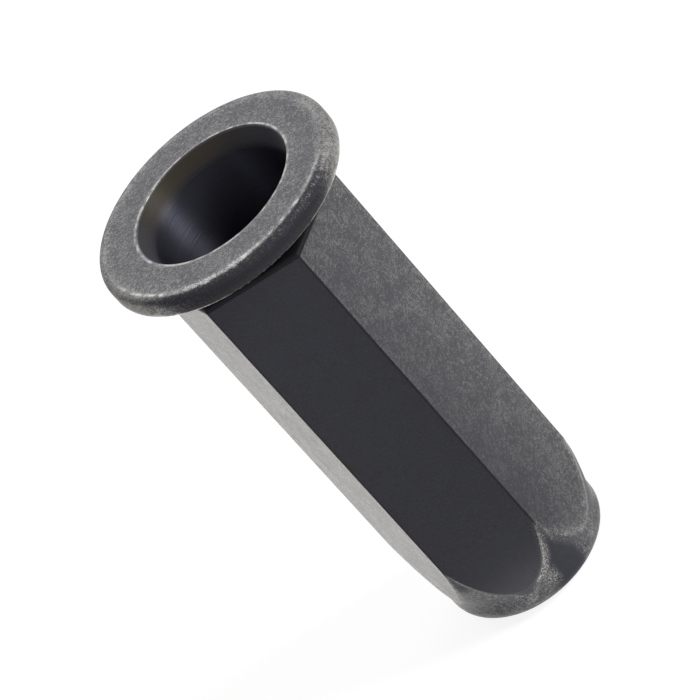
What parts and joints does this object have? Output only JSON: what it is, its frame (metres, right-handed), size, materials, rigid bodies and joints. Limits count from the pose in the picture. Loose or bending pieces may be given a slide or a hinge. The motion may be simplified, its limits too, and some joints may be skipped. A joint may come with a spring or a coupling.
{
  "type": "rivet nut",
  "caption": "Closed-end rivet nut: a flanged blind threaded insert with a hexagonal barrel that is pulled up behind a sheet to give it a strong thread.",
  "frame": {"origin": "centre of the flat closed end, on the surface that the nut stands on", "axes": "+Z is the nut's axis, from the closed end up to the flange and the open mouth; two flats of the barrel face +Y and -Y, and two corners lie on +X and -X"},
  "size_m": [0.016, 0.016, 0.034],
  "materials": {
    "blackened_steel": "blackened steel, tumbled, worn bare along its edges"
  },
  "bodies": {
    "root": {"rivet_nut": "blackened_steel"}
  },
  "joints": []
}
